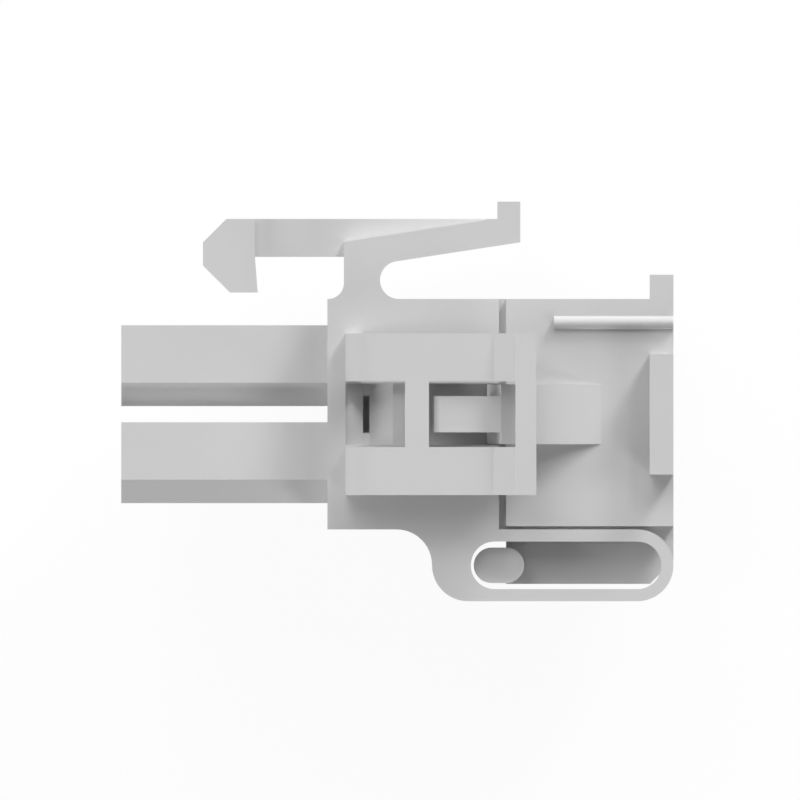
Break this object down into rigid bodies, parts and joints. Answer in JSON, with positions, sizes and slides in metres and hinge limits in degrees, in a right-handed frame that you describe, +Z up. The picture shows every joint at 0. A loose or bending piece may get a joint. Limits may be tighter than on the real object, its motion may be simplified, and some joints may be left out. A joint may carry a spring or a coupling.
{
  "type": "rectangular power connector housing",
  "caption": "Two-row rectangular plug housing with square silos, a see-saw latch lever, side frames and a sliding rear lock, lying on its side.",
  "frame": {"origin": "on the surface it lies on, under the centre of its box", "axes": "+X from the mating end to the wire end, +Y towards the latch lever, +Z up, out of the side that the picture shows"},
  "size_m": [0.0342, 0.0248, 0.0283],
  "materials": {
    "housing_nylon": "satin moulded nylon, light neutral grey",
    "lock_nylon": "satin moulded nylon, light neutral grey"
  },
  "bodies": {
    "housing": {"front_housing": "housing_nylon"},
    "lock": {"rear_lock": "lock_nylon"}
  },
  "joints": [
    {"name": "lock_slide", "type": "slide", "parent": "housing", "child": "lock", "axis": [1, 0, 0], "range_m": [0, 0.0084]}
  ]
}
